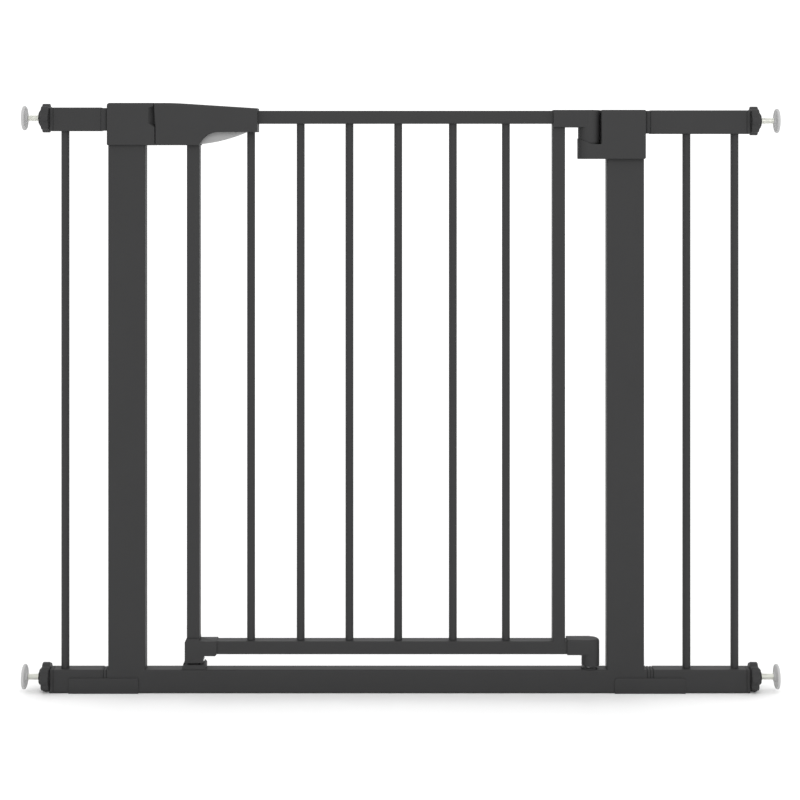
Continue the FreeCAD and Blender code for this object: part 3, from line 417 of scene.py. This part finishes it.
def build_spindle_rods():
    """Threaded rods: one turn of thread profile, screwed along the rod and cut off flat at both ends."""
    pitch, depth = sizes().thread_pitch, sizes().thread_depth
    low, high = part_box("left_top_threaded_rod")
    radius = (high.z - low.z) / 2
    start_clean()
    bpy.ops.mesh.primitive_plane_add(size=pitch, location=(0, 0, 0), rotation=(math.pi / 2, 0, 0))
    master = bpy.context.object
    bpy.ops.object.transform_apply(rotation=True)
    bpy.ops.object.mode_set(mode="EDIT")
    select(lambda v: v.co.x < 0)
    bpy.ops.mesh.delete(type="VERT")
    bpy.ops.mesh.select_all(action="SELECT")
    bpy.ops.transform.translate(value=(radius - depth - pitch / 2, 0, 0))
    bpy.ops.mesh.subdivide(number_cuts=5)
    crest = pitch * 0.1
    select(lambda v: abs(v.co.z) < crest + pitch / 6)
    bpy.ops.transform.translate(value=(depth * 0.7, 0, 0))
    select(lambda v: abs(v.co.z) < crest)
    bpy.ops.transform.translate(value=(depth * 0.3, 0, 0))
    bpy.ops.object.mode_set(mode="OBJECT")
    spans = [spindle_ends(name + "_threaded_rod") for name in SPINDLES]
    spare_turns = 3
    turns = math.ceil(max(far - near for near, far in spans) / pitch) + spare_turns
    apply_modifier(master, "SCREW", axis="Z", screw_offset=pitch, iterations=turns, steps=20, render_steps=20,
                   use_merge_vertices=True, merge_threshold=MERGE_REACH)
    rods = []
    for name, (near, far) in zip(SPINDLES, spans):
        rod = copied(master, Matrix.Translation((0, 0, near - 2 * pitch)))
        bpy.ops.object.mode_set(mode="EDIT")
        for height, keep_above in ((near, True), (far, False)):
            bpy.ops.mesh.select_all(action="SELECT")
            bpy.ops.mesh.bisect(plane_co=(0, 0, height), plane_no=(0, 0, 1), use_fill=True,
                                clear_inner=keep_above, clear_outer=not keep_above)
        bpy.ops.object.mode_set(mode="OBJECT")
        recalculate(rod)
        rod.matrix_world = spindle_matrix(name)
        settle(rod, name + "_thread", zinc_plating())
        smooth(rod, 50)
        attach(rod, name + "_spindle")
        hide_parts(name + "_threaded_rod")
        rods.append(rod)
    discard(master)
    return rods


def build_hand_nuts():
    """Lobed hand nuts: a wheel with grips, stepping in to a fluted boss, bored through for the rod."""
    low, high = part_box("left_top_hand_nut")
    reach = (high.z - low.z) / 2
    nut_length = high.x - low.x
    lobes = sizes().nut_lobes
    hollow = sizes().nut_hollow / reach
    wheel = 9.6 * MM
    boss = nut_length - wheel
    bore = 4.06 * MM
    start_clean()
    bpy.ops.mesh.primitive_circle_add(vertices=lobes * 14, radius=reach, fill_type="NOTHING")
    master = bpy.context.object
    bpy.ops.object.mode_set(mode="EDIT")
    step = math.pi / lobes / 7

    def from_valley(v):
        angle = math.atan2(v.co.y, v.co.x) % (2 * math.pi / lobes)
        return abs(angle - math.pi / lobes)

    # The hollow is deepest at its middle and runs out towards the grips on both sides.
    for level, share in enumerate((1.0, 0.93, 0.72, 0.42, 0.16)):
        select(lambda v: abs(from_valley(v) - level * step) < step / 2)
        widen(1 - hollow * share)
    bpy.ops.mesh.select_all(action="SELECT")
    width = 0.95
    widen(width)
    # Each ring's width as a share of the wheel's, and its rise over the ring before.
    wheel_rims, boss_rims = 1.9 * MM, 1.5 * MM
    rings = (
        (0.983, 0.3 * MM), (1.0, 0.6 * MM), (1.0, wheel - wheel_rims), (0.983, 0.65 * MM), (0.95, 0.35 * MM),
        (0.66, 0.0), (0.62, 0.3 * MM), (0.55, boss - boss_rims), (0.48, 0.9 * MM), (0.42, 0.3 * MM),
    )
    for ring_width, rise in rings:
        push_ring(rise, ring_width / width)
        width = ring_width
    push_ring(scale=0.7, rounder=True)
    radius = max(math.hypot(v.co.x, v.co.y) for v in selected_vertices(master))
    push_ring(scale=bore / radius)
    push_ring(-nut_length)
    bpy.ops.object.mode_set(mode="OBJECT")
    bottom = min(v.co.z for v in master.data.vertices)
    bpy.ops.object.mode_set(mode="EDIT")
    select(lambda e: all(abs(master.data.vertices[i].co.z - bottom) < SAME_HEIGHT for i in e.vertices), "EDGE")
    bpy.ops.mesh.bridge_edge_loops()
    bpy.ops.object.mode_set(mode="OBJECT")
    recalculate(master)
    nuts = []
    for name in SPINDLES:
        near, _ = spindle_ends(name + "_hand_nut")
        nut = copied(master, spindle_matrix(name) @ Matrix.Translation((0, 0, near)))
        settle(nut, name + "_grip_nut", moulding())
        smooth(nut, 40)
        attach(nut, name + "_nut")
        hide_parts(name + "_hand_nut")
        nuts.append(nut)
    discard(master)
    return nuts


def build_wall_pads():
    """Soft round pads: a flat grip face with two grooves, a rounded rim, a dished inner face and a boss."""
    low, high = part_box("left_top_wall_pad")
    reach = (high.z - low.z) / 2
    thick = 3.8 * MM
    boss = (high.x - low.x) - thick
    dish = boss + sizes().pad_dish
    face = boss + thick
    groove = face - 0.5 * MM
    rod = 4.0 * MM
    start_clean()
    bpy.ops.mesh.primitive_circle_add(vertices=96, radius=rod, fill_type="NOTHING")
    master = bpy.context.object
    bpy.ops.object.mode_set(mode="EDIT")
    bpy.ops.mesh.select_all(action="SELECT")
    # Each ring's radius and height, from the boss round the rim to the middle of the grip face.
    rings = (
        (5.0 * MM, 0.0), (5.6 * MM, 0.3 * MM), (6.0 * MM, boss - 0.5 * MM), (6.8 * MM, boss),
        (8.0 * MM, dish), (12.2 * MM, dish), (13.4 * MM, boss), (14.3 * MM, boss + 0.1 * MM),
        (15.2 * MM, boss + 0.7 * MM), (reach, boss + 1.7 * MM), (reach, face - 1.2 * MM),
        (15.2 * MM, face - 0.4 * MM), (14.4 * MM, face),
        (12.0 * MM, face), (11.7 * MM, groove), (11.0 * MM, groove), (10.7 * MM, face),
        (7.2 * MM, face), (6.9 * MM, groove), (6.2 * MM, groove), (5.9 * MM, face), (1.0 * MM, face),
    )
    radius, height = rod, 0.0
    for ring_radius, ring_height in rings:
        push_ring(ring_height - height, ring_radius / radius)
        radius, height = ring_radius, ring_height
    bpy.ops.mesh.edge_face_add()
    select(lambda v: v.co.z < SAME_HEIGHT and math.hypot(v.co.x, v.co.y) < rod * 1.01)
    push_ring(boss + 0.8 * MM)
    bpy.ops.mesh.edge_face_add()
    bpy.ops.object.mode_set(mode="OBJECT")
    recalculate(master)
    pads = []
    for name in SPINDLES:
        near, _ = spindle_ends(name + "_wall_pad")
        pad = copied(master, spindle_matrix(name) @ Matrix.Translation((0, 0, near)))
        settle(pad, name + "_soft_pad", pad_rubber())
        smooth(pad, 35)
        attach(pad, name + "_spindle")
        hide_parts(name + "_wall_pad")
        pads.append(pad)
    discard(master)
    return pads


def softened_cover(node, width):
    """A copy of a cover whose hard edges are rounded off a little, as a moulding tool leaves them."""
    make_active(NODES[node])
    bpy.ops.object.duplicate()
    cover = bpy.context.object
    cover.parent = None
    for key in list(cover.keys()):
        del cover[key]
    bpy.ops.object.mode_set(mode="EDIT")
    bpy.ops.mesh.select_all(action="SELECT")
    bpy.ops.mesh.remove_doubles(threshold=CAD_MERGE_REACH)
    bpy.ops.mesh.dissolve_limited(angle_limit=math.radians(0.4))
    bpy.ops.object.mode_set(mode="OBJECT")
    apply_modifier(cover, "BEVEL", width=width * MM, segments=sizes().edge_steps, limit_method="ANGLE",
                   angle_limit=math.radians(40), use_clamp_overlap=True, harden_normals=False)
    smooth(cover, 30)
    return cover


def build_covers():
    """Every moulded or pressed cover with its softened edges."""
    for node, width in COVERS.items():
        cover = softened_cover(node, width)
        material = trigger_plastic() if node == "trigger" else moulding()
        if node.endswith("_joint_clip"):
            material = powder_coat()
        settle(cover, node + "_cover", material)
        body = next(body for body, members in RECORD["behaviour"]["bodies"].items() if node in members)
        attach(cover, body)
        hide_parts(node)


def build_screws():
    """Pan-head screws with a cross recess."""
    start_clean()
    bpy.ops.mesh.primitive_cylinder_add(vertices=32, radius=SCREW_HEAD_RADIUS, depth=SCREW_HEAD_HEIGHT,
                                        location=(0, 0, SCREW_HEAD_HEIGHT / 2))
    head = bpy.context.object
    bpy.ops.object.transform_apply(location=True)
    apply_modifier(head, "BEVEL", width=0.8 * MM, segments=4, limit_method="ANGLE")
    blade_size, blade_height = (4.0 * MM, 0.9 * MM, 2.2 * MM), 1.6 * MM
    for turn in (0, math.pi / 2):
        start_clean()
        bpy.ops.mesh.primitive_cube_add(size=1.0, location=(0, 0, blade_height), rotation=(0, 0, turn))
        blade = bpy.context.object
        blade.scale = blade_size
        bpy.ops.object.transform_apply(location=True, rotation=True, scale=True)
        apply_modifier(head, "BOOLEAN", operation="DIFFERENCE", object=blade, solver="EXACT")
        discard(blade)
    for node, body in (("frame_screws", "frame"), ("door_screws", "door")):
        copies = []
        for place in screw_places(node):
            # The heads face the rear, and each recess is left at an angle of its own.
            rearwards = Matrix.Translation(place) @ Matrix.Rotation(-math.pi / 2, 4, "X")
            copies.append(copied(head, rearwards @ Matrix.Rotation(place.x * 40, 4, "Z")))
        start_clean()
        for piece in copies:
            piece.select_set(True)
        bpy.context.view_layer.objects.active = copies[0]
        bpy.ops.object.join()
        screws = bpy.context.object
        settle(screws, node.replace("_screws", "_screw_heads"), bright_steel())
        smooth(screws, 35)
        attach(screws, body)
        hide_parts(node)
    discard(head)


def screw_places(node):
    """The middle of each head's underside. A screw's vertices lie close to the first one found on it."""
    screws = []
    for vertex in NODES[node].data.vertices:
        spot = Vector((vertex.co.x, vertex.co.z))
        points = next((found for first, found in screws if (first - spot).length < SCREW_SPREAD), None)
        if points is None:
            points = []
            screws.append((spot, points))
        points.append(vertex.co)
    places = []
    for _, points in screws:
        low = Vector(map(min, zip(*points)))
        high = Vector(map(max, zip(*points)))
        places.append(Vector(((low.x + high.x) / 2, high.y - SCREW_HEAD_HEIGHT, (low.z + high.z) / 2)))
    return places


def build_trigger_spring():
    """A coil between the trigger and the top rail."""
    low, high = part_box("trigger_spring")
    middle = (low + high) / 2
    height = high.z - low.z
    wire, turns = sizes().spring_wire, sizes().spring_turns
    start_clean()
    bpy.ops.mesh.primitive_circle_add(vertices=12, radius=wire, location=((high.x - low.x) / 2 - wire, 0, 0),
                                      rotation=(math.pi / 2, 0, 0), fill_type="NOTHING")
    spring = bpy.context.object
    bpy.ops.object.transform_apply(location=True, rotation=True)
    apply_modifier(spring, "SCREW", axis="Z", screw_offset=(height - 2 * wire) / turns, iterations=turns,
                   steps=24, render_steps=24)
    bpy.ops.object.mode_set(mode="EDIT")
    bpy.ops.mesh.select_all(action="SELECT")
    bpy.ops.mesh.fill_holes(sides=0)
    bpy.ops.object.mode_set(mode="OBJECT")
    recalculate(spring)
    spring.matrix_world = Matrix.Translation((middle.x, middle.y, low.z + wire))
    settle(spring, "trigger_return_spring", bright_steel())
    smooth(spring, 60)
    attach(spring, "door")
    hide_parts("trigger_spring")
    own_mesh(spring)


def coat_frame():
    """Finishes for the CAD pieces that keep their own shape."""
    coat(STEEL_TUBES, powder_coat())
    coat(BEARING_PIECES, bearing_plastic())
    coat(STEEL_PIECES, bright_steel())


# ---------------------------------------------------------------- studio

def build_studio():
    """A wide pale floor, a white surround, one soft light from the upper right and the front camera."""
    s = studio()
    key_place, key_aim = Vector((0.6, -2.2, 1.9)), Vector((0, 0, 0.45))
    camera_side = -0.001
    start_clean()
    bpy.ops.mesh.primitive_plane_add(size=24, location=(0, 0, 0))
    floor = bpy.context.object
    floor.name = "studio_floor"
    material = bpy.data.materials.new("pale_floor")
    material.use_nodes = True
    shader = material.node_tree.nodes["Principled BSDF"]
    shader.inputs["Base Color"].default_value = (*s.floor, 1)
    shader.inputs["Roughness"].default_value = 0.9
    shader.inputs["Specular IOR Level"].default_value = 0.0
    floor.data.materials.append(material)

    world = bpy.data.worlds.new("white_surround")
    world.use_nodes = True
    world.node_tree.nodes["Background"].inputs["Color"].default_value = (1, 1, 1, 1)
    world.node_tree.nodes["Background"].inputs["Strength"].default_value = s.sky
    bpy.context.scene.world = world

    bpy.ops.object.light_add(type="AREA", location=key_place)
    key = bpy.context.object
    key.name = "key_light"
    key.data.shape = "DISK"
    key.data.size = 1.2
    key.data.energy = s.key
    key.rotation_euler = (key_aim - key.location).to_track_quat("-Z", "Y").to_euler()

    camera_data = bpy.data.cameras.new("front_camera")
    camera_data.lens = s.lens
    camera_data.sensor_width = 36
    camera_data.shift_y = s.rise
    camera = bpy.data.objects.new("front_camera", camera_data)
    camera.location = (camera_side, -s.camera_distance, s.camera_height)
    camera.rotation_euler = (math.pi / 2, 0, 0)
    bpy.context.scene.collection.objects.link(camera)
    bpy.context.scene.camera = camera
    bpy.context.scene.view_settings.view_transform = "Standard"


# ---------------------------------------------------------------- operators and panel

class GATE_OT_frame_finishes(bpy.types.Operator):
    """Coat the steel tubes, bearings and pins"""
    bl_idname = "gate.frame_finishes"
    bl_label = "Frame Finishes"

    def execute(self, context):
        coat_frame()
        return {"FINISHED"}


class GATE_OT_covers(bpy.types.Operator):
    """Make the moulded and pressed covers with softened edges"""
    bl_idname = "gate.covers"
    bl_label = "Covers"

    def execute(self, context):
        build_covers()
        return {"FINISHED"}


class GATE_OT_spindle_rods(bpy.types.Operator):
    """Make the four threaded rods"""
    bl_idname = "gate.spindle_rods"
    bl_label = "Spindle Rods"

    def execute(self, context):
        if len(build_spindle_rods()) != len(SPINDLES):
            raise RuntimeError("a spindle rod is missing")
        return {"FINISHED"}


class GATE_OT_hand_nuts(bpy.types.Operator):
    """Make the four lobed hand nuts"""
    bl_idname = "gate.hand_nuts"
    bl_label = "Hand Nuts"

    def execute(self, context):
        if len(build_hand_nuts()) != len(SPINDLES):
            raise RuntimeError("a hand nut is missing")
        return {"FINISHED"}


class GATE_OT_wall_pads(bpy.types.Operator):
    """Make the four soft wall pads"""
    bl_idname = "gate.wall_pads"
    bl_label = "Wall Pads"

    def execute(self, context):
        if len(build_wall_pads()) != len(SPINDLES):
            raise RuntimeError("a wall pad is missing")
        return {"FINISHED"}


class GATE_OT_trigger_spring(bpy.types.Operator):
    """Make the trigger's return spring"""
    bl_idname = "gate.trigger_spring"
    bl_label = "Trigger Spring"

    def execute(self, context):
        build_trigger_spring()
        return {"FINISHED"}


class GATE_OT_screws(bpy.types.Operator):
    """Make the pan-head screws on the rear of the covers"""
    bl_idname = "gate.screws"
    bl_label = "Screws"

    def execute(self, context):
        build_screws()
        return {"FINISHED"}


class GATE_OT_studio(bpy.types.Operator):
    """Make the pale floor, the soft light and the camera"""
    bl_idname = "gate.studio"
    bl_label = "Studio"

    def execute(self, context):
        build_studio()
        return {"FINISHED"}


class GATE_PT_panel(bpy.types.Panel):
    """Lists the gate's pieces, sizes and finishes"""
    bl_idname = "GATE_PT_panel"
    bl_label = "Safety Gate"
    bl_space_type = "VIEW_3D"
    bl_region_type = "UI"
    bl_category = "Safety Gate"

    def draw(self, context):
        layout = self.layout
        for operator in OPERATORS:
            layout.operator(operator.bl_idname)
        for settings in (context.scene.gate_sizes, context.scene.gate_finishes, context.scene.gate_studio):
            box = layout.box()
            for name in settings.__annotations__:
                box.prop(settings, name)


SETTINGS = (GateSizes, GateFinishes, GateStudio)
OPERATORS = (
    GATE_OT_frame_finishes, GATE_OT_covers, GATE_OT_spindle_rods, GATE_OT_hand_nuts, GATE_OT_wall_pads,
    GATE_OT_trigger_spring, GATE_OT_screws, GATE_OT_studio,
)


def register():
    for item in SETTINGS + OPERATORS + (GATE_PT_panel,):
        bpy.utils.register_class(item)
    bpy.types.Scene.gate_sizes = bpy.props.PointerProperty(type=GateSizes)
    bpy.types.Scene.gate_finishes = bpy.props.PointerProperty(type=GateFinishes)
    bpy.types.Scene.gate_studio = bpy.props.PointerProperty(type=GateStudio)


def unregister():
    del bpy.types.Scene.gate_studio
    del bpy.types.Scene.gate_finishes
    del bpy.types.Scene.gate_sizes
    for item in reversed(SETTINGS + OPERATORS + (GATE_PT_panel,)):
        bpy.utils.unregister_class(item)


def main():
    register()
    bpy.ops.gate.frame_finishes()
    bpy.ops.gate.covers()
    bpy.ops.gate.spindle_rods()
    bpy.ops.gate.hand_nuts()
    bpy.ops.gate.wall_pads()
    bpy.ops.gate.trigger_spring()
    bpy.ops.gate.screws()
    bpy.ops.gate.studio()


if __name__ == "__main__":
    main()
